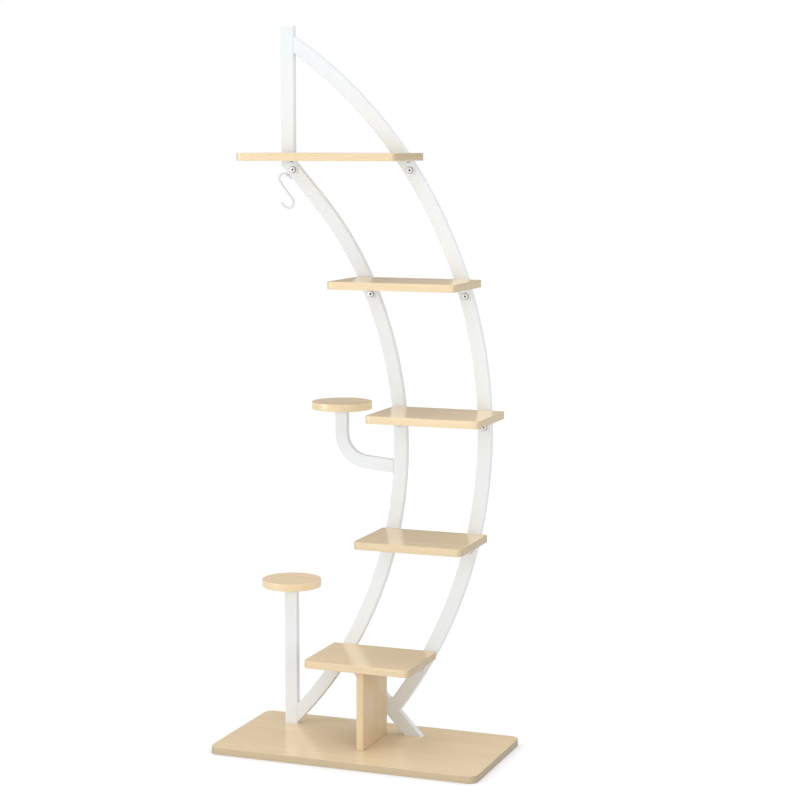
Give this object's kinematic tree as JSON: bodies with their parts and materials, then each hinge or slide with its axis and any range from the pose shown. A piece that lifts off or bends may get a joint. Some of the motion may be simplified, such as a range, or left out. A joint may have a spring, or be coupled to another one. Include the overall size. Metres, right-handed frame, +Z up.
{
  "type": "tiered plant stand",
  "caption": "Tall free-standing plant stand: a crescent frame of bent flat tube on a wooden base, with stepped rectangular shelves, small round shelves on posts and a hanging S hook.",
  "frame": {"origin": "on the floor, under the middle of the base board", "axes": "+Z up, +X to the right of a viewer in front of the shelves, +Y from the shelves to the frame behind them"},
  "size_m": [0.6, 0.304, 1.5405],
  "materials": {
    "board": "light maple laminate, satin",
    "white_frame": "satin off-white powder coat",
    "plated_bolts": "bright nickel plate",
    "white_cap": "satin white",
    "white_wire": "white coated wire",
    "zinc_screws": "zinc plated",
    "inner_steel": "plain steel",
    "dowel": "raw beech"
  },
  "bodies": {
    "frame": {"base_board": "board", "support_board": "board", "shelf_1": "board", "shelf_2": "board", "shelf_3": "board", "shelf_4": "board", "shelf_5": "board", "round_shelf_upper": "board", "round_shelf_lower": "board", "top_post": "white_frame", "lower_post": "white_frame", "side_arm": "white_frame", "foot_strut": "white_frame", "outer_curve_top": "white_frame", "outer_curve_middle": "white_frame", "outer_curve_bottom": "white_frame", "inner_curve_top": "white_frame", "inner_curve_middle": "white_frame", "inner_curve_bottom": "white_frame", "outer_sleeve_upper": "inner_steel", "outer_sleeve_lower": "inner_steel", "inner_sleeve_upper": "inner_steel", "inner_sleeve_lower": "inner_steel", "sleeve_screws": "plated_bolts", "post_cap": "white_cap", "upper_round_plate": "white_frame", "lower_round_plate": "white_frame", "round_shelf_screws": "zinc_screws", "shelf_1_brackets": "white_frame", "shelf_2_brackets": "white_frame", "shelf_3_brackets": "white_frame", "shelf_4_brackets": "white_frame", "shelf_5_brackets": "white_frame", "bracket_bolts": "plated_bolts", "bracket_nuts": "zinc_screws", "shelf_screws": "zinc_screws", "post_foot_plug": "inner_steel", "strut_foot_plug": "inner_steel", "base_bolts": "zinc_screws", "support_screws": "zinc_screws", "support_dowels": "dowel", "hook_eye": "white_frame"},
    "hook": {"s_hook": "white_wire"}
  },
  "joints": [
    {"name": "hook_swing", "type": "hinge", "parent": "frame", "child": "hook", "pos_m": [-0.21333, 0.081, 1.22342], "axis": [0, 1, 0], "range_deg": [-3, 50]}
  ]
}
